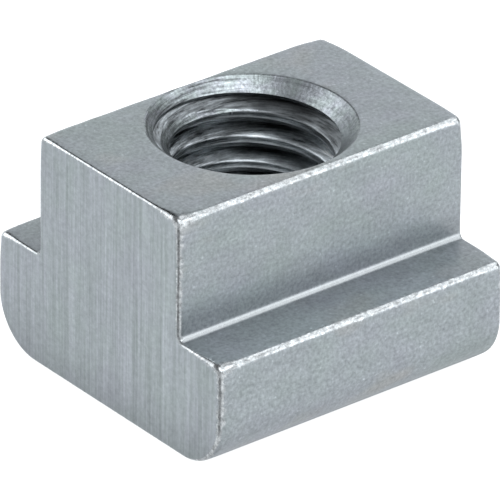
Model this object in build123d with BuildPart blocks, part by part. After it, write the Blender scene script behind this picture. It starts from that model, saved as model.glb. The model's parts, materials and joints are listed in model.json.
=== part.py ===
from build123d import *
import os

# T slot nut: one piece of drawn steel bar, sawn to length, drilled, countersunk and tapped.
# Millimetres. The origin is in the middle of the base, on the axis of the hole.
# X runs across the flanges, Y runs along the slot, and Z points up out of the slot.

# Section of the drawn bar
flange_width = 22.0
flange_height = 7.7
neck_width = 13.8
total_height = 16.0
base_edge_radius = 3.6
flange_edge_radius = 0.45
neck_edge_radius = 0.45
inner_corner_radius = 0.3

# Sawn length, and the radius of the tumbled edges round the two sawn ends
nut_length = 22.0
end_edge_radius = 0.2

# Hole for an M12 screw with coarse thread, countersunk above and below
thread_diameter = 12.0
thread_pitch = 1.75
top_countersink_diameter = 13.3
base_countersink_diameter = 12.6
countersink_angle = 90.0

# Bore left between the crests of the thread: a 60 degree internal thread takes this much of the
# diameter for each millimetre of pitch
thread_depth_per_pitch = 1.0825
bore_diameter = thread_diameter - thread_depth_per_pitch * thread_pitch

neck_height = total_height - flange_height

with BuildPart() as t_slot_nut:
    # Section of the bar: a wide flange with a narrower neck standing on it
    with BuildSketch(Plane.XZ):
        Rectangle(flange_width, flange_height, align=(Align.CENTER, Align.MIN))
        with Locations((0, flange_height)):
            Rectangle(neck_width, neck_height, align=(Align.CENTER, Align.MIN))
    extrude(amount=nut_length / 2, both=True)

    # Edges that the drawing die leaves rounded along the whole bar
    long_edges = t_slot_nut.edges().filter_by(Axis.Y)
    base_edges = long_edges.group_by(Axis.Z)[0]
    ledge_edges = long_edges.group_by(Axis.Z)[1].sort_by(Axis.X)
    neck_edges = long_edges.group_by(Axis.Z)[-1]
    fillet(base_edges, radius=base_edge_radius)
    fillet([ledge_edges[0], ledge_edges[-1]], radius=flange_edge_radius)
    fillet([ledge_edges[1], ledge_edges[-2]], radius=inner_corner_radius)
    fillet(neck_edges, radius=neck_edge_radius)

    # Sharp edges taken off round both sawn ends
    sawn_ends = t_slot_nut.faces().filter_by(Axis.Y)
    fillet(sawn_ends.edges(), radius=end_edge_radius)

    # Bore through the middle, countersunk from the top and from the base
    with Locations(Plane.XY.offset(total_height)):
        CounterSinkHole(bore_diameter / 2, top_countersink_diameter / 2, counter_sink_angle=countersink_angle)
    with Locations(-Plane.XY):
        CounterSinkHole(bore_diameter / 2, base_countersink_diameter / 2, counter_sink_angle=countersink_angle)

t_slot_nut.part.label = "t_slot_nut"

os.makedirs("parts", exist_ok=True)
export_step(t_slot_nut.part, "parts/t_slot_nut.step")
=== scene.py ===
import json
import math
from collections import namedtuple

import bpy
import numpy as np
from mathutils import Matrix, Vector, noise
from mathutils.geometry import delaunay_2d_cdt


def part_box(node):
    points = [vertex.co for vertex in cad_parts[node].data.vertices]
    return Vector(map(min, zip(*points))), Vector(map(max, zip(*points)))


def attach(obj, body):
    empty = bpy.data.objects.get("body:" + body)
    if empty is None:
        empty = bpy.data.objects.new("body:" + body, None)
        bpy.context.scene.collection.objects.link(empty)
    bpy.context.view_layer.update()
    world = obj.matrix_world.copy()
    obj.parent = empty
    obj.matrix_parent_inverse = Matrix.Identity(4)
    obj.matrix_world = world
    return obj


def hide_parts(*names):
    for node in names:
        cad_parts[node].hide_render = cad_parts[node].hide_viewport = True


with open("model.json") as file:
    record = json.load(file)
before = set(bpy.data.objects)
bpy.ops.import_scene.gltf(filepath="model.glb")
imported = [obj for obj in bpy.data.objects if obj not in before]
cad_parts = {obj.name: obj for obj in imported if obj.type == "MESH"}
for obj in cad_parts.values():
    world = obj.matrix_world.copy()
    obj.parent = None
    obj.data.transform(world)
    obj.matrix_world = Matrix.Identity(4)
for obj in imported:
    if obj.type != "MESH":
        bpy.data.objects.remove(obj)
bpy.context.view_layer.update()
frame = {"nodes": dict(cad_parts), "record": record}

# T slot nut: a drawn steel bar of T section, sawn to length, drilled, countersunk, tapped and tumbled.
# Its shape is worked out in millimetres, in the CAD model's own frame, and becomes a mesh in metres.
# X runs across the flanges, Y along the bar and Z up, out of the slot.
MM = 0.001
NODE = "t_slot_nut"

# ---------------------------------------------------------------- sizes taken from the frame
flange_half, length_half, total_height = np.array(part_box(NODE)[1]) / MM

mounts = {mount["name"]: mount for mount in frame["record"]["mounts"]}
shoulder_height = mounts["left_shoulder"]["pos_m"][2] / MM
bore_radius = mounts["screw_thread"]["dims"]["r_mm"]

cad_points = np.array([vertex.co for vertex in frame["nodes"][NODE].data.vertices]) / MM
middle_of_neck = (shoulder_height + total_height) / 2
neck_half = np.abs(cad_points[cad_points[:, 2] > middle_of_neck, 0]).max()

# ---------------------------------------------------------------- sizes of the worn shape
base_edge_radius = 3.6
long_edge_radius = 0.43
inner_corner_radius = 0.38

# Edges round the two sawn ends. Those of the neck at +Y are larger, from a little way above the shoulders
end_edge_radius = 0.2
far_neck_edge_radius = 0.32
far_neck_edge_start = 1.0

# Tumbling wears the corners, where three edges meet, rounder than the edges, and not all alike. For each
# side of the bar (+X or -X) and end (+Y or -Y): radii there of the long, the level and the upright edge
CornerWear = namedtuple("CornerWear", "long level upright")
neck_corner_wear = {
    (1, -1): CornerWear(0.95, 0.48, 0.40),
    (1, 1): CornerWear(0.60, 0.40, 0.12),
    (-1, -1): CornerWear(0.50, 0.30, 0.22),
    (-1, 1): CornerWear(0.74, 0.58, 0.38),
}
flange_corner_wear = {
    (1, -1): CornerWear(0.95, 0.48, 0.52),
    (1, 1): CornerWear(0.60, 0.40, 0.33),
    (-1, -1): CornerWear(0.56, 0.38, 0.24),
    (-1, 1): CornerWear(0.80, 0.60, 0.42),
}
corner_wear_reach = 1.0

# Knocks make the radius of a long edge vary along the bar by this share, with this many to a millimetre
knock_share = 0.1
knock_frequency = 1.1

# Beside a worn edge the flat face falls away a little: by this depth at the edge, and over this width
roll_off_depth = 0.02
roll_off_width = 1.2

# The saw's scratches are up to about this deep
saw_mark_depth = 0.012

# M12 coarse thread, 60 degrees, right-handed. The flats at its crest and root, and the rounding of the
# crest's edges, are shares of the pitch
thread_pitch = 1.75
thread_major_radius = 6.0
thread_start_height = -3.5
thread_start_angle = math.radians(122)
thread_turns = 13
thread_crest_flat = 1 / 4
thread_root_flat = 1 / 8
thread_crest_rounding = 0.035

top_countersink_radius = 6.52
base_countersink_radius = 6.3
countersink_lip_radius = 0.2
# How far the lip's rounding reaches beyond the sharp rim on the face, and inside it on the cone
countersink_lip_reach = countersink_lip_radius * math.tan(math.pi / 8)

# The top countersink was cut a little off the axis of the thread, this far and towards this side
countersink_offset = 0.22
countersink_side = math.radians(141)
off_axis = countersink_offset * np.array((math.cos(countersink_side), math.sin(countersink_side), 0.0))

# Sides of the hole where shade is painted into the thread's roots, and where the cut is shallow and torn
root_shade_side = math.radians(130)
torn_side = math.radians(228)

# ---------------------------------------------------------------- fineness of the mesh
# Steps round the two base edges, round the section's other edges and round the edges of the sawn ends
base_arc_steps = 24
edge_arc_steps = 7
end_rounding_steps = 6

# Points round the section, and rows of them along the bar, which this power crowds towards its ends
side_spacing = 0.45
row_spacing = 0.36
row_crowding = 1.35

# Points this close beside each rounding keep the shading of the flat faces flat
support_distance = 0.07

# A sawn end has close columns of points across its marks and far rows along them, and none of these points
# is nearer than this to its outline, or than this to the rounding of its base
sawn_column_spacing = 0.17
sawn_row_spacing = 1.3
sawn_margin = 0.1
sawn_corner_margin = 0.3

# Points round the hole, up a flank of the thread as shares of it, round a lip and down a countersink
hole_columns = 288
flank_shares = (0.12, 0.37, 0.63, 0.88)
lip_angles = np.radians((6, 18, 31, 45))
cone_depths = (0.5, 0.95, 1.4, 1.85, 2.6)

# A countersink's cutter begins this far outside its lip and above its face
cutter_overhang = 1.2
cutter_headroom = 0.25

# Faces that meet at more than this angle are shaded apart
sharp_edge_angle = math.radians(32)


# ---------------------------------------------------------------- body of the nut
Corner = namedtuple("Corner", "place radius steps is_worn")


def worn_radius(y, corner_wear, side, seed):
    """Radius of a long edge at y: worn larger where it meets a sawn end, and varied by knocks."""
    from_end = length_half - abs(y)
    at_corner = corner_wear[side, 1 if y > 0 else -1].long
    wear = math.exp(-((from_end / corner_wear_reach) ** 2))
    knock = noise.noise(Vector((y * knock_frequency, seed, 0.5)))
    return (long_edge_radius + (at_corner - long_edge_radius) * wear) * (1 + knock_share * knock)


def section_corners(y):
    """Corners of the T section at y, anticlockwise from the right of the base, as x and z."""
    sides = []
    for side in (1, -1):
        flange_edge = worn_radius(y, flange_corner_wear, side, seed=5.0 * side)
        neck_edge = worn_radius(y, neck_corner_wear, side, seed=10.0 * side)
        flange_x, neck_x = side * flange_half, side * neck_half
        sides.append([
            Corner(np.array((flange_x, 0.0)), base_edge_radius, base_arc_steps, False),
            Corner(np.array((flange_x, shoulder_height)), flange_edge, edge_arc_steps, True),
            Corner(np.array((neck_x, shoulder_height)), inner_corner_radius, edge_arc_steps, False),
            Corner(np.array((neck_x, total_height)), neck_edge, edge_arc_steps, True),
        ])
    right, left = sides
    return right + left[::-1]


def side_shares():
    """Places of the points on each straight side, as shares of its length: the same in every row."""
    corners = section_corners(0.0)
    sides = []
    for here, after in zip(corners, corners[1:] + corners[:1]):
        length = np.linalg.norm(after.place - here.place) - here.radius - after.radius
        count = max(2, round(length / side_spacing))
        held = support_distance / length
        sides.append(np.concatenate([[held], np.linspace(0, 1, count + 1)[1:-1], [1 - held]]))
    return sides


def unit(vector):
    return vector / np.linalg.norm(vector)


def outward(along):
    """Outward normal of a side of the section that runs this way, anticlockwise."""
    return np.array((along[1], -along[0]))


def roll_off(distance):
    """How far a flat face has fallen away at this distance from a worn edge's rounding."""
    return roll_off_depth * np.maximum(0.0, 1 - distance / roll_off_width) ** 3


def section_loop(y, sides):
    """Outline of the section at y: points, outward normals, and closeness to a worn edge from 0 to 1."""
    corners = section_corners(y)
    points, normals, wear = [], [], []
    for i, (corner, shares) in enumerate(zip(corners, sides)):
        after = corners[(i + 1) % len(corners)]
        arriving = unit(corner.place - corners[i - 1].place)
        leaving = unit(after.place - corner.place)
        first, last = outward(arriving), outward(leaving)
        # an inner corner is rounded from outside the section
        turn = -1 if first @ leaving > 0 else 1
        centre = corner.place + (leaving - arriving) * corner.radius
        from_centre = turn * corner.radius - corner.is_worn * roll_off_depth
        for angle in np.linspace(0, math.pi / 2, corner.steps + 1):
            normal = first * math.cos(angle) + last * math.sin(angle)
            points.append(centre + from_centre * normal)
            normals.append(normal)
            wear.append(float(corner.is_worn))
        start = corner.place + leaving * corner.radius
        end = after.place - leaving * after.radius
        length = np.linalg.norm(end - start)
        for share in shares:
            from_start = share * length if corner.is_worn else math.inf
            from_end = (1 - share) * length if after.is_worn else math.inf
            nearest = min(from_start, from_end)
            points.append(start + (end - start) * share - last * roll_off(nearest))
            normals.append(last)
            wear.append(math.exp(-((nearest / corner_wear_reach) ** 2)))
    return np.array(points), np.array(normals), np.array(wear)


def end_inset(points, normals, wear, end):
    """Radius of the rounding between the section's outline and the sawn end at +Y or -Y, by point."""
    height = points[:, 1]
    on_far_neck = (height > shoulder_height + far_neck_edge_start) & (end > 0)
    level = np.where(on_far_neck, far_neck_edge_radius, end_edge_radius)
    on_right = points[:, :1] > 0
    neck = np.where(on_right, neck_corner_wear[1, end], neck_corner_wear[-1, end])
    flange = np.where(on_right, flange_corner_wear[1, end], flange_corner_wear[-1, end])
    on_neck = height[:, None] > shoulder_height
    _, corner, upright = np.where(on_neck, neck, flange).T
    along_edge = level + (upright - level) * normals[:, 0] ** 2
    return along_edge + (corner - along_edge) * wear


def row_plan():
    """Rows along the bar, from -Y to +Y: share of the half length, and angle round the end's rounding."""
    count = round(2 * length_half / row_spacing)
    shares = np.linspace(-1, 1, count + 1)
    # the rows crowd towards the ends, where the long edges change radius
    shares = np.sign(shares) * (1 - (1 - np.abs(shares)) ** row_crowding)
    held = 1 - support_distance / length_half
    shares = np.concatenate([[-1, -held], shares[1:-1], [held, 1]])
    angles = np.linspace(0, math.pi / 2, end_rounding_steps + 1)[1:]
    return [(-1, a) for a in angles[::-1]] + [(share, 0.0) for share in shares] + [(1, a) for a in angles]


def body_rows():
    """Points of the skin: rows along the bar, each one a closed outline."""
    sides = side_shares()
    rows = []
    for share, angle in row_plan():
        points, normals, wear = section_loop(share * (length_half - end_edge_radius), sides)
        inset = end_inset(points, normals, wear, end=1 if share > 0 else -1)
        y = np.sign(share) * inset * math.sin(angle) + share * (length_half - inset)
        from_rounding = np.maximum(0.0, length_half - inset - np.abs(y)) if angle == 0 else 0.0
        depth = inset * (1 - math.cos(angle)) + roll_off(from_rounding)
        flat = points - normals * depth[:, None]
        rows.append(np.stack([flat[:, 0], y, flat[:, 1]], axis=1))
    return rows


def distance_to_outline(points, outline):
    """Shortest distance from each point to the closed outline."""
    along = np.roll(outline, -1, axis=0) - outline
    to_point = points[:, None] - outline[None]
    share = np.clip((to_point * along).sum(2) / (along ** 2).sum(1), 0, 1)
    return np.linalg.norm(to_point - share[..., None] * along, axis=2).min(1)


def sawn_end_points(outline):
    """Points inside a sawn end, as x and z."""
    columns = np.arange(-flange_half, flange_half, sawn_column_spacing)
    rows = np.arange(sawn_row_spacing / 2, total_height, sawn_row_spacing)
    grid = np.array([(x, z) for z in rows for x in columns])
    grid = grid[(grid[:, 1] < shoulder_height) | (np.abs(grid[:, 0]) < neck_half)]
    corner_x = np.abs(grid[:, 0]) - (flange_half - base_edge_radius)
    corner_z = base_edge_radius - grid[:, 1]
    in_base_corner = (corner_x > 0) & (corner_z > 0)
    inside_arc = np.hypot(corner_x, corner_z) < base_edge_radius - sawn_corner_margin
    grid = grid[~in_base_corner | inside_arc]
    return grid[distance_to_outline(grid, outline) > sawn_margin]


def scratches(x, z, across, along, seed):
    """Noise with this many features to a millimetre across the saw's scratches, and along them."""
    return noise.noise(Vector((x * across, z * along, seed)))


def saw_mark(x, z):
    """Depth of the saw's marks at this place on a sawn end: upright scratches, some broad, some fine."""
    broad = scratches(x, z, across=1.1, along=0.02, seed=3.0)
    fine = scratches(x, z, across=3.4, along=0.03, seed=8.0)
    return saw_mark_depth * max(0.0, 0.5 + 0.35 * broad + 0.4 * fine)


def fill_end(ring, ring_start, next_index, end):
    """Fills the sawn end inside its ring of points, which are numbered from ring_start.

    Returns the points that it adds, which are numbered from next_index, and the faces.
    """
    outline = ring[:, [0, 2]]
    flat = [Vector(point) for point in np.concatenate([outline, sawn_end_points(outline)])]
    edges = [(i, (i + 1) % len(ring)) for i in range(len(ring))]
    inside_only, merge_distance = 1, 1e-6
    places, _, triangles, origins, _, _ = delaunay_2d_cdt(flat, edges, [], inside_only, merge_distance)
    used = {i for triangle in triangles for i in triangle}
    index_of, added = {}, []
    for i, (place, origin) in enumerate(zip(places, origins)):
        if origin and origin[0] < len(ring):
            index_of[i] = ring_start + origin[0]
        elif i in used:
            index_of[i] = next_index + len(added)
            added.append((place.x, end * (length_half - saw_mark(place.x, place.y)), place.y))
    faces = [[index_of[i] for i in triangle] for triangle in triangles]
    if end > 0:
        faces = [face[::-1] for face in faces]
    return np.array(added), faces


def build_body():
    """The whole bar with its two sawn ends, as one closed mesh."""
    rows = body_rows()
    around = len(rows[0])
    faces = []
    for low in range(0, (len(rows) - 1) * around, around):
        high = low + around
        for i in range(around):
            j = (i + 1) % around
            faces.append((low + i, high + i, high + j, low + j))
    parts = list(rows)
    total = len(rows) * around
    for row, end in ((0, -1), (len(rows) - 1, 1)):
        added, end_faces = fill_end(rows[row], row * around, total, end)
        parts.append(added)
        faces += end_faces
        total += len(added)
    return np.concatenate(parts), faces


# ---------------------------------------------------------------- cutters for the hole
def thread_form():
    """Section of one turn of the thread cutter: shares of the pitch, and radii."""
    crest, root = bore_radius, thread_major_radius
    crest_end = thread_crest_flat / 2
    root_start = (1 - thread_root_flat) / 2
    flank = root_start - crest_end
    slope = (root - crest) / flank
    rounding = thread_crest_rounding
    level = [(rounding - crest_end, crest), (0.0, crest), (crest_end - rounding, crest)]
    # a point just past the corner rounds off the edge of the thread's crest
    rising = [(crest_end + 0.25 * rounding, crest + 0.45 * slope * rounding)]
    rising += [(crest_end + share * flank, crest + share * (root - crest)) for share in flank_shares]
    rising.append((root_start, root))
    falling = [(1 - share, radius) for share, radius in reversed(rising)]
    return level + rising + [(0.5, root)] + falling


def build_thread_cutter():
    """A plug with the thread's form wound round it, long enough to pass right through the nut."""
    form = thread_form()
    per_turn = len(form)
    rows = thread_turns * per_turn
    angles = np.arange(hole_columns) * 2 * math.pi / hole_columns
    points = []
    for j in range(rows + 1):
        share, radius = form[j % per_turn]
        height = thread_start_height + thread_pitch * (j // per_turn + share + angles / (2 * math.pi))
        turned = angles + thread_start_angle
        points.append(np.stack([radius * np.cos(turned), radius * np.sin(turned), height], axis=1))

    def at(row, column):
        """Index of a point. Past the last column the winding goes on one turn higher."""
        return row * hole_columns + column if column < hole_columns else (row + per_turn) * hole_columns

    faces = []
    for j in range(rows):
        for i in range(hole_columns):
            past_top = i == hole_columns - 1 and j + 1 + per_turn > rows
            if not past_top:
                faces.append((at(j, i), at(j, i + 1), at(j + 1, i + 1), at(j + 1, i)))

    # each end of the plug is a fan of triangles round a middle point: one turn of the helix, and its step
    foot = [at(0, i) for i in range(hole_columns)] + [at(j, 0) for j in range(per_turn, 0, -1)]
    head = [at(rows, i) for i in range(hole_columns)]
    head += [at(j, hole_columns - 1) for j in range(rows - 1, rows - per_turn - 1, -1)]
    foot_middle = (rows + 1) * hole_columns
    head_middle = foot_middle + 1
    points.append(np.array([
        (0.0, 0.0, thread_start_height),
        (0.0, 0.0, thread_start_height + thread_pitch * (thread_turns + 1)),
    ]))
    faces += [(foot_middle, b, a) for a, b in zip(foot, foot[1:] + foot[:1])]
    faces += [(head_middle, a, b) for a, b in zip(head, head[1:] + head[:1])]
    return np.concatenate(points), faces


def build_countersink_cutter(rim_radius, face_height, outward_sign):
    """A cone that cuts a 90 degree countersink with a softened lip into the face at this height.

    outward_sign is 1 for the nut's top and -1 for its base.
    """
    lip_start = rim_radius + countersink_lip_reach
    # radius and depth below the face, from outside the nut inwards
    profile = [(lip_start + cutter_overhang, -cutter_headroom)]
    for angle in lip_angles:
        radius = lip_start - countersink_lip_radius * math.sin(angle)
        profile.append((radius, countersink_lip_radius - countersink_lip_radius * math.cos(angle)))
    profile += [(rim_radius - depth, depth) for depth in cone_depths]
    angles = np.arange(hole_columns) * 2 * math.pi / hole_columns
    points = []
    for radius, depth in profile:
        height = np.full(hole_columns, face_height - outward_sign * depth)
        points.append(np.stack([radius * np.cos(angles), radius * np.sin(angles), height], axis=1))
    faces = []
    total = len(profile) * hole_columns
    for low in range(0, total - hole_columns, hole_columns):
        high = low + hole_columns
        for i in range(hole_columns):
            j = (i + 1) % hole_columns
            faces.append((low + i, high + i, high + j, low + j))
    faces.append(tuple(range(hole_columns)))
    faces.append(tuple(range(total - hole_columns, total))[::-1])
    if outward_sign < 0:
        faces = [face[::-1] for face in faces]
    return np.concatenate(points), faces


def mesh_object(name, points, faces):
    """A new object from points in millimetres."""
    mesh = bpy.data.meshes.new(name)
    in_metres = np.asarray(points, float) * MM
    mesh.from_pydata([tuple(point) for point in in_metres], [], [tuple(face) for face in faces])
    mesh.validate()
    made = bpy.data.objects.new(name, mesh)
    bpy.context.scene.collection.objects.link(made)
    return made


def cut(target, cutters):
    """Takes each cutter out of the target, and removes the cutter."""
    for cutter in cutters:
        modifier = target.modifiers.new("cut", "BOOLEAN")
        modifier.operation = "DIFFERENCE"
        modifier.solver = "MANIFOLD"
        modifier.object = cutter
        with bpy.context.temp_override(object=target, active_object=target):
            bpy.ops.object.modifier_apply(modifier=modifier.name)
        mesh = cutter.data
        bpy.data.objects.remove(cutter)
        bpy.data.meshes.remove(mesh)


def build_nut():
    """The worn bar with its countersunk and tapped hole."""
    made = mesh_object("nut_body", *build_body())
    top_points, top_faces = build_countersink_cutter(top_countersink_radius, total_height, 1)
    base_points, base_faces = build_countersink_cutter(base_countersink_radius, 0.0, -1)
    cut(made, [
        mesh_object("thread_cutter", *build_thread_cutter()),
        mesh_object("top_countersink_cutter", top_points + off_axis, top_faces),
        mesh_object("base_countersink_cutter", base_points, base_faces),
    ])
    made.data.shade_smooth()
    made.data.set_sharp_from_angle(angle=sharp_edge_angle)
    return made


nut = build_nut()


# ---------------------------------------------------------------- where the surface is worn, and where shade is painted on
# A surface faces a way where this part of its normal, or more, points there
facing_part = 0.7
end_facing_part = 0.5

# Slant is 0 where a surface faces along an axis. Rubbing starts at this slant, and is full this much on.
# It stops this far outside the top countersink's rim
rub_start_slant = 0.01
rub_slant_range = 0.12
rub_rim_margin = 0.01

# The die has polished the inside of the shoulders, this far round their corners and by this share
polish_reach = 1.5 * inner_corner_radius
polish_share = 0.6

# Painted shade on the ledges beside the neck, less by this share for each millimetre away from it
ledge_shade_fade = 0.16
ledge_margin = 0.3

# Painted shade darkens the foot of the neck by this share, up to this height, and less over the last part
# of it
foot_shade_share = 0.85
foot_shade_height = 2.15
foot_shade_fade_height = 1.1

# Painted shade darkens the sawn ends at the bottom, standing in for the floor's contact shadow seen in
# them, over about this height and with this sharpness of its border
base_shade_height = 2.3
base_shade_sharpness = 1.5


def read_vectors(items, name):
    """An array with one vector for each item, such as a vertex or a face."""
    values = np.empty(len(items) * 3)
    items.foreach_get(name, values)
    return values.reshape(-1, 3)


def from_top_countersink(points):
    """Distance of each point from the axis of the top countersink."""
    return np.hypot(points[:, 0] - off_axis[0], points[:, 1] - off_axis[1])


def mark_wear(mesh):
    """Stores three shares for each point: rubbed bright, polished by the die, and painted shade, which
    darkens it.
    """
    points = read_vectors(mesh.vertices, "co") / MM
    normals = read_vectors(mesh.vertex_normals, "vector")
    height = points[:, 2]
    from_shoulder = np.hypot(np.abs(points[:, 0]) - neck_half, height - shoulder_height)
    faces_up = normals[:, 2] > facing_part
    faces_side = np.abs(normals[:, 0]) > facing_part
    faces_end = np.abs(normals[:, 1]) > end_facing_part

    # edges are rubbed, which their slanting normals show, but not the hole or the large base roundings
    slant = 1 - np.abs(normals).max(axis=1)
    worn = np.clip((slant - rub_start_slant) / rub_slant_range, 0, 1)
    in_hole = from_top_countersink(points) < top_countersink_radius + rub_rim_margin
    between_ends = np.abs(points[:, 1]) < length_half - end_edge_radius
    on_base_rounding = between_ends & (height < base_edge_radius)
    worn[in_hole | on_base_rounding] = 0

    # inside the shoulders the bar is polished instead
    in_shoulder = from_shoulder < polish_reach
    polished = np.where(in_shoulder, polish_share * worn, 0)
    worn[in_shoulder] = 0

    # painted shade: darker on the ledges beside the neck, at the foot of the neck and at the bottom of the
    # sawn ends
    on_ledge = faces_up & (np.abs(height - shoulder_height) < ledge_margin)
    ledge_shade = np.clip(1 - ledge_shade_fade * from_shoulder, 0, 1)
    on_neck = faces_side & (height > shoulder_height)
    fade = np.clip((foot_shade_height - from_shoulder) / foot_shade_fade_height, 0, 1)
    foot = on_neck * foot_shade_share * fade * fade * (3 - 2 * fade)
    low = faces_end * np.exp(-((np.maximum(height, 0) / base_shade_height) ** base_shade_sharpness))
    painted_shade = np.maximum(np.where(on_ledge, ledge_shade, foot) * (1 - polished), low)

    for name, values in (("worn", worn), ("polished", polished), ("painted_shade", painted_shade)):
        mesh.attributes.new(name, "FLOAT", "POINT").data.foreach_set("value", values)


mark_wear(nut.data)


# ---------------------------------------------------------------- finishes
# Greys of the steel, which differ a little from place to place
COOL_STEEL = (0.434, 0.457, 0.471)
GREEN_STEEL = (0.424, 0.464, 0.460)
LILAC_STEEL = (0.439, 0.456, 0.483)
BRIGHT_STEEL = (0.57, 0.58, 0.58)
WARM_STEEL = (0.475, 0.465, 0.442)


def add_node(tree, kind, inputs=None, **settings):
    """Adds a shader node. Inputs are values or other nodes' outputs, by socket name or number."""
    made = tree.nodes.new("ShaderNode" + kind)
    for name, value in settings.items():
        setattr(made, name, value)
    for key, value in (inputs or {}).items():
        if isinstance(value, bpy.types.NodeSocket):
            tree.links.new(value, made.inputs[key])
        else:
            made.inputs[key].default_value = value
    return made


class Finish:
    """One steel surface: a metal whose colour, roughness and relief come from noise in millimetres."""

    def __init__(self, name):
        self.material = bpy.data.materials.new(name)
        self.material.use_nodes = True
        self.tree = self.material.node_tree
        self.shader = self.tree.nodes["Principled BSDF"]
        self.shader.inputs["Metallic"].default_value = 1.0
        place = add_node(self.tree, "TexCoord").outputs["Object"]
        self.place = self.scaled(place, (1 / MM, 1 / MM, 1 / MM))

    def set(self, socket, value):
        self.tree.links.new(value, self.shader.inputs[socket])

    def scaled(self, vector, factors):
        return add_node(self.tree, "Mapping", {"Vector": vector, "Scale": factors}).outputs["Vector"]

    def noise(self, stretch, detail=2.0, rough=0.55, vector=None):
        """Noise from 0 to 1 with this many features to a millimetre along x, y and z."""
        vector = self.scaled(vector or self.place, stretch)
        inputs = {"Vector": vector, "Scale": 1.0, "Detail": detail, "Roughness": rough}
        return add_node(self.tree, "TexNoise", inputs).outputs["Fac"]

    def remap(self, value, from_low, from_high, to_low, to_high):
        """Goes from to_low to to_high as the value goes from from_low to from_high, and no further."""
        inputs = {
            "Value": value,
            "From Min": from_low,
            "From Max": from_high,
            "To Min": to_low,
            "To Max": to_high,
        }
        return add_node(self.tree, "MapRange", inputs).outputs["Result"]

    def spread(self, noise_value, low, high):
        """Noise, which mostly lies between 0.3 and 0.7, stretched to go from low to high."""
        return self.remap(noise_value, 0.3, 0.7, low, high)

    def math(self, operation, first, second):
        return add_node(self.tree, "Math", {0: first, 1: second}, operation=operation).outputs["Value"]

    def product(self, first, *others):
        for other in others:
            first = self.math("MULTIPLY", first, other)
        return first

    def blend(self, share, first, second):
        """Colour that goes from the first to the second as share goes from 0 to 1."""
        made = add_node(self.tree, "Mix", {"Factor": share}, data_type="RGBA")
        for name, value in (("A", first), ("B", second)):
            socket = next(s for s in made.inputs if s.name == name and s.type == "RGBA")
            if isinstance(value, bpy.types.NodeSocket):
                self.tree.links.new(value, socket)
            else:
                socket.default_value = (*value, 1.0)
        return next(s for s in made.outputs if s.type == "RGBA")

    def shaded(self, colour, brightness):
        """The colour made lighter or darker by the brightness, which is about 1."""
        made = add_node(self.tree, "VectorMath", {0: colour, "Scale": brightness}, operation="SCALE")
        return made.outputs["Vector"]

    def relief(self, height, depth):
        """Bump of the given depth in millimetres."""
        bump = add_node(self.tree, "Bump", {"Height": height, "Distance": depth * MM, "Strength": 1.0})
        self.set("Normal", bump.outputs["Normal"])

    def stored(self, name):
        """A share that mark_wear has stored in the mesh."""
        return add_node(self.tree, "Attribute", attribute_name=name).outputs["Fac"]

    def worn(self):
        """Share from 0 to 1 by which this place is rubbed bright, with a ragged border."""
        stored = self.stored("worn")
        ragged = self.remap(self.noise((3.5, 3.5, 3.5), detail=4.0, rough=0.7), 0.35, 0.65, -0.7, 0.5)
        near_edge = self.math("GREATER_THAN", stored, 0.02)
        return self.remap(self.math("ADD", stored, self.product(ragged, near_edge)), 0.15, 0.7, 0.0, 1.0)


class HoleFinish(Finish):
    """A surface in the hole, which also knows its place round the hole's axis.

    around changes little round the hole, so noise placed by it is drawn out into turned lines.
    """

    def __init__(self, name):
        super().__init__(name)
        parts = add_node(self.tree, "SeparateXYZ", {"Vector": self.place})
        x, y, self.height = (parts.outputs[axis] for axis in "XYZ")
        squares = self.math("ADD", self.product(x, x), self.product(y, y))
        self.radius = self.math("POWER", squares, 0.5)
        cosine = self.math("DIVIDE", x, self.radius)
        sine = self.math("DIVIDE", y, self.radius)
        combined = add_node(self.tree, "CombineXYZ", {"X": cosine, "Y": sine, "Z": self.height})
        self.around = combined.outputs["Vector"]

    def towards(self, side):
        """Goes from -1 to 1 round the hole, and is 1 on the side in this direction."""
        inputs = {0: self.around, 1: (math.cos(side), math.sin(side), 0.0)}
        return add_node(self.tree, "VectorMath", inputs, operation="DOT_PRODUCT").outputs["Value"]

    def torn(self, darkest):
        """Brightness of a torn cut: short light and dark streaks, mostly where the cut is shallow."""
        streaks = self.noise((2.0, 2.0, 6.5), detail=4.0, rough=0.75, vector=self.around)
        strength = self.remap(self.towards(torn_side), -0.1, 0.7, 0.2, 1.0)
        return self.math("POWER", self.remap(streaks, 0.36, 0.64, darkest, 1.2), strength)


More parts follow.
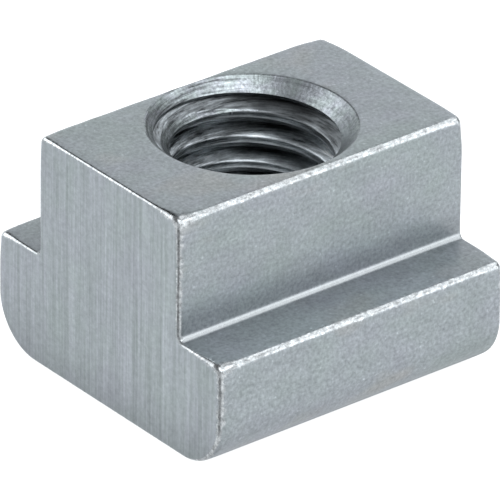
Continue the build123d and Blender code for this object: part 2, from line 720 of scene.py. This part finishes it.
def drawn_finish():
    """Bar surface: fine tumbled grain, faint lines along the bar, soft patches, bright specks, and painted
    shade.
    """
    finish = Finish("drawn_steel")
    patches = finish.noise((0.28, 0.2, 0.28), detail=3.0)
    grain = finish.noise((4.2, 4.2, 4.2), detail=4.0, rough=0.75)
    mottle = finish.noise((0.8, 0.6, 0.8), detail=3.0, rough=0.6)
    stains = finish.noise((0.22, 0.16, 0.35), detail=2.0)
    draw_lines = finish.noise((6, 0.5, 6), detail=2.0)
    specks = finish.noise((3.2, 3.2, 3.2), detail=1.0)
    scuffs = finish.noise((5.0, 2.5, 2.5), detail=3.0, rough=0.7)
    painted_shade, worn, polished = finish.stored("painted_shade"), finish.worn(), finish.stored("polished")
    tint = finish.blend(finish.remap(patches, 0.35, 0.65, 0.0, 1.0), GREEN_STEEL, LILAC_STEEL)
    tint = finish.blend(finish.remap(stains, 0.56, 0.70, 0.0, 0.6), tint, WARM_STEEL)
    # painted shade: bluer here and darker below, beside the neck, on the ledges and low on the ends
    tint = finish.blend(finish.product(painted_shade, 0.5), tint, LILAC_STEEL)
    brightness = finish.product(
        finish.spread(grain, 0.72, 1.28),
        finish.spread(mottle, 0.94, 1.06),
        finish.spread(draw_lines, 0.95, 1.05),
        finish.remap(specks, 0.70, 0.78, 1.0, 1.35),
        # painted shade
        finish.remap(painted_shade, 0.0, 1.0, 1.0, 0.76),
    )
    scuffed = finish.shaded(BRIGHT_STEEL, finish.remap(scuffs, 0.35, 0.65, 0.6, 1.5))
    rubbed = finish.blend(worn, finish.shaded(tint, brightness), scuffed)
    finish.set("Base Color", finish.blend(polished, rubbed, BRIGHT_STEEL))
    shine = finish.product(finish.math("MAXIMUM", worn, polished), 0.11)
    finish.set("Roughness", finish.math("SUBTRACT", finish.spread(grain, 0.28, 0.36), shine))
    finish.relief(finish.math("ADD", grain, finish.product(draw_lines, 0.6)), depth=0.006)
    return finish.material


def sawn_finish():
    """Sawn ends: upright saw marks, in slightly different greys, with painted shade at the bottom."""
    finish = Finish("sawn_steel")
    broad = finish.noise((1.3, 1.0, 0.04), detail=2.0)
    fine = finish.noise((4.5, 1.0, 0.10), detail=4.0, rough=0.7)
    patches = finish.noise((0.3, 0.3, 0.3), detail=3.0)
    grain = finish.noise((3.5, 3.5, 3.5), detail=4.0, rough=0.75)
    hue = finish.math("ADD", finish.product(fine, 0.5), finish.product(patches, 0.5))
    tint = finish.blend(finish.remap(hue, 0.38, 0.62, 0.0, 1.0), GREEN_STEEL, LILAC_STEEL)
    brightness = finish.product(
        finish.spread(fine, 0.78, 1.22),
        finish.spread(broad, 0.92, 1.08),
        finish.spread(grain, 0.85, 1.15),
        # painted shade at the bottom of the sawn ends
        finish.remap(finish.stored("painted_shade"), 0.0, 1.0, 1.0, 0.72),
    )
    finish.set("Base Color", finish.shaded(tint, brightness))
    finish.set("Roughness", finish.spread(fine, 0.32, 0.42))
    finish.relief(fine, depth=0.010)
    return finish.material


def countersunk_finish():
    """Countersink: bright grains, short radial chatter marks and faint turned lines, torn on one side,
    with painted light on the side it is shifted towards.
    """
    finish = HoleFinish("countersunk_steel")
    turned = finish.noise((2.5, 2.5, 7), detail=3.0, rough=0.65, vector=finish.around)
    chatter = finish.noise((34, 34, 0.9), detail=3.0, rough=0.6, vector=finish.around)
    grain = finish.noise((4.5, 4.5, 4.5), detail=4.0, rough=0.75)
    patches = finish.noise((0.9, 0.9, 0.9), detail=2.0)
    tint = finish.blend(finish.remap(patches, 0.4, 0.62, 0.0, 1.0), GREEN_STEEL, LILAC_STEEL)
    brightness = finish.product(
        finish.spread(grain, 0.62, 1.45),
        finish.spread(turned, 0.88, 1.12),
        finish.spread(chatter, 0.88, 1.12),
        # painted light and shade: brighter on the side that the countersink is shifted towards, darker
        # round the rest
        finish.remap(finish.towards(countersink_side), 0.3, 0.95, 0.66, 1.18),
        finish.torn(darkest=0.15),
    )
    finish.set("Base Color", finish.shaded(tint, brightness))
    finish.set("Roughness", finish.spread(grain, 0.42, 0.28))
    finish.relief(finish.math("ADD", grain, finish.product(chatter, 0.4)), depth=0.02)
    return finish.material


def tapped_finish():
    """Thread: lines drawn round the hole by the tap, with painted shade in the roots on one side, painted
    light on the flanks and on the walls away from it, and painted shade in the groove under the
    countersink.
    """
    finish = HoleFinish("tapped_steel")
    turned = finish.noise((2.2, 2.2, 7.5), detail=4.0, rough=0.7, vector=finish.around)
    smears = finish.noise((3.5, 3.5, 1.5), detail=2.0, vector=finish.around)
    grain = finish.noise((7, 7, 7), detail=2.0, rough=0.6)
    # painted shade in the thread's roots on one side
    towards_root_shade = finish.towards(root_shade_side)
    in_root = finish.remap(finish.radius, 5.15, 5.8, 0.0, 1.0)
    root_shade = finish.product(in_root, finish.remap(towards_root_shade, 0.78, 1.0, 0.0, 0.85))
    painted_flank_light = finish.remap(finish.radius, 5.08, 5.6, 1.0, 1.5)
    brightness = finish.product(
        finish.spread(turned, 0.35, 2.0),
        finish.remap(smears, 0.35, 0.65, 0.7, 1.2),
        finish.spread(grain, 0.9, 1.1),
        # painted light: the flanks are made brighter than the crests, but not where the painted root shade
        # lies on them
        finish.product(painted_flank_light, finish.math("SUBTRACT", 1.0, root_shade)),
        finish.torn(darkest=0.1),
        # painted light: the walls away from the painted root shade are made brighter than the wall that
        # has it
        finish.remap(towards_root_shade, 0.0, 0.7, 1.55, 1.0),
        # painted shade: the groove just under the countersink is darker
        finish.remap(finish.height, total_height - 2.7, total_height - 1.8, 1.0, 0.5),
    )
    finish.set("Base Color", finish.shaded(COOL_STEEL, brightness))
    finish.set("Roughness", finish.spread(turned, 0.26, 0.42))
    finish.relief(turned, depth=0.015)
    return finish.material


# A face this near to a countersink's cone belongs to it, and one this near to the bar's end was sawn
cone_margin = 0.06
end_margin = 0.1

# The upward part of the normal is more than this on the flat faces round the hole, and less than this on
# the cones, unlike on the thread's flanks. The endward part is more than this on the sawn faces
flat_upward = 0.995
cone_upward = 0.8
sawn_endward = 0.93


def assign_finishes(mesh):
    """Gives each face the finish of the tool that made it: drawing die, saw, countersink or tap."""
    drawn, sawn, countersunk, tapped = range(4)
    centres = read_vectors(mesh.polygons, "center") / MM
    _, endward, upward = np.abs(read_vectors(mesh.polygons, "normal")).T
    height = centres[:, 2]
    in_top_half = height > total_height / 2
    from_axis = np.hypot(centres[:, 0], centres[:, 1])
    from_axis = np.where(in_top_half, from_top_countersink(centres), from_axis)
    rim = np.where(in_top_half, top_countersink_radius, base_countersink_radius)
    depth = np.where(in_top_half, total_height - height, height)

    in_hole = (from_axis < rim + countersink_lip_reach) & (upward < flat_upward)
    on_cone = (np.abs(rim - from_axis - depth) < cone_margin) & (upward < cone_upward)
    on_lip = from_axis > rim - countersink_lip_reach
    on_end = (endward > sawn_endward) & (np.abs(centres[:, 1]) > length_half - end_margin)
    choices = [in_hole & (on_cone | on_lip), in_hole, on_end]
    index = np.select(choices, [countersunk, tapped, sawn], drawn).astype(np.int32)

    mesh.materials.clear()
    for material in (drawn_finish(), sawn_finish(), countersunk_finish(), tapped_finish()):
        mesh.materials.append(material)
    mesh.polygons.foreach_set("material_index", index)


assign_finishes(nut.data)

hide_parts(NODE)
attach(nut, "root")

# ---------------------------------------------------------------- studio
scene = bpy.context.scene
scene.view_settings.view_transform = "Standard"
nut_middle = Vector((0, 0, total_height / 2 * MM))

# Slightly cool light, the same from every lamp and from the room
LIGHT_TINT = (0.955, 1.0, 1.04)


def direction(azimuth, elevation):
    """Unit vector at these angles in degrees; azimuth turns from +X towards +Y."""
    a, e = math.radians(azimuth), math.radians(elevation)
    return Vector((math.cos(a) * math.cos(e), math.sin(a) * math.cos(e), math.sin(e)))


def softbox(name, azimuth, elevation, spread, radiance, distance=0.5):
    """A round soft light at this distance in metres, seen from the nut as a disc of this angular radius.

    Radiance 1 is white paper.
    """
    aim = direction(azimuth, elevation)
    radius = distance * math.tan(math.radians(spread))
    data = bpy.data.lights.new(name, "AREA")
    data.shape = "DISK"
    data.size = 2 * radius
    data.energy = radiance * math.pi ** 2 * radius ** 2
    data.color = LIGHT_TINT
    made = bpy.data.objects.new(name, data)
    made.location = nut_middle + aim * distance
    made.rotation_euler = aim.to_track_quat("Z", "Y").to_euler()
    made.visible_camera = False
    scene.collection.objects.link(made)


def build_room(sky_steps, glows):
    """Room light by height above the horizon, with soft lighter or darker areas in some directions."""
    world = bpy.data.worlds.new("studio")
    world.use_nodes = True
    scene.world = world
    tree = world.node_tree
    looking = add_node(tree, "TexCoord").outputs["Generated"]
    height = add_node(tree, "SeparateXYZ", {"Vector": looking}).outputs["Z"]
    share = add_node(tree, "MapRange", {"Value": height, "From Min": -1.0, "From Max": 1.0})
    ramp = add_node(tree, "ValToRGB", {"Fac": share.outputs["Result"]})
    stops = ramp.color_ramp.elements
    while len(stops) < len(sky_steps):
        stops.new(0.5)
    for stop, (z, grey) in zip(stops, sky_steps):
        stop.position = (z + 1) / 2
        stop.color = (grey, grey, grey, 1)
    light = ramp.outputs["Color"]

    def combine(operation, first, second, output="Vector"):
        return add_node(tree, "VectorMath", {0: first, 1: second}, operation=operation).outputs[output]

    for azimuth, elevation, spread, softness, strength in glows:
        aligned = combine("DOT_PRODUCT", looking, direction(azimuth, elevation), output="Value")
        glow = add_node(tree, "MapRange", {
            "Value": aligned,
            "From Min": math.cos(math.radians(spread + softness)),
            "From Max": math.cos(math.radians(spread - softness)),
            "To Max": strength,
        }, interpolation_type="SMOOTHSTEP")
        light = combine("ADD", light, glow.outputs["Result"])
    light = combine("MAXIMUM", light, (0, 0, 0))
    light = combine("MULTIPLY", light, LIGHT_TINT)
    tree.links.new(light, tree.nodes["Background"].inputs["Color"])


def build_floor(half_width, gap, grey, glow):
    """A plain pale floor, a gap below the nut's base so that the two never cover each other by turns."""
    corners = [(x * half_width, y * half_width, -gap) for x, y in ((-1, -1), (1, -1), (1, 1), (-1, 1))]
    floor = mesh_object("floor", corners, [(0, 1, 2, 3)])
    paper = bpy.data.materials.new("paper")
    paper.use_nodes = True
    shader = paper.node_tree.nodes["Principled BSDF"]
    shader.inputs["Base Color"].default_value = (grey, grey, grey, 1)
    shader.inputs["Roughness"].default_value = 1.0
    shader.inputs["Emission Color"].default_value = (1, 1, 1, 1)
    shader.inputs["Emission Strength"].default_value = glow
    floor.data.materials.append(paper)
    floor.visible_glossy = False


build_room(
    # height from -1, straight down, to 1, overhead; radiance
    sky_steps=[
        (-1.0, 0.6), (-0.75, 0.84), (-0.48, 0.92), (-0.1, 1.0), (0.2, 0.85),
        (0.48, 0.80), (0.62, 0.30), (0.78, 0.20), (1.0, 0.20),
    ],
    # azimuth, elevation, spread and softness of its edge in degrees; strength
    glows=[
        (-62, -26, 15, 11, -0.6),
        (-55, 6, 20, 12, -0.45),
        (172, 47, 12, 10, -0.3),
        (82, 16, 14, 12, -0.65),
        (126, 42, 14, 12, 0.3),
        (122, -29, 14, 10, -0.45),
    ],
)
softbox("front_softbox", azimuth=-20, elevation=58, spread=20, radiance=2.0)
softbox("back_softbox", azimuth=76, elevation=53, spread=24, radiance=1.15)
softbox("left_softbox", azimuth=-147, elevation=30, spread=20, radiance=1.3)
softbox("right_softbox", azimuth=38, elevation=20, spread=20, radiance=0.92)
softbox("corner_softbox", azimuth=22, elevation=45, spread=12, radiance=1.3)
build_floor(half_width=400, gap=0.02, grey=0.45, glow=0.9)


# ---------------------------------------------------------------- camera
def aim_camera(azimuth, elevation, roll, distance, lens, sideways, upward):
    """A long lens, in millimetres, at this distance in metres from the middle of the nut.

    Angles are in degrees, and azimuth turns from -Y towards +X. Once aimed, the camera is moved sideways
    and upward without turning.
    """
    back = direction(azimuth - 90, elevation)
    level = direction(azimuth, 0)
    upright = back.cross(level)
    r = math.radians(roll)
    right = level * math.cos(r) + upright * math.sin(r)
    up = upright * math.cos(r) - level * math.sin(r)
    place = nut_middle + right * sideways + up * upward + back * distance
    data = bpy.data.cameras.new("camera")
    data.lens = lens
    data.sensor_width = 36
    made = bpy.data.objects.new("camera", data)
    turned = Matrix((right, up, back)).transposed()
    made.matrix_world = Matrix.Translation(place) @ turned.to_4x4()
    scene.collection.objects.link(made)
    scene.camera = made


aim_camera(azimuth=51.185, elevation=28.739, roll=0.719, distance=0.5636, lens=663.8,
           sideways=-0.023 * MM, upward=-0.55 * MM)
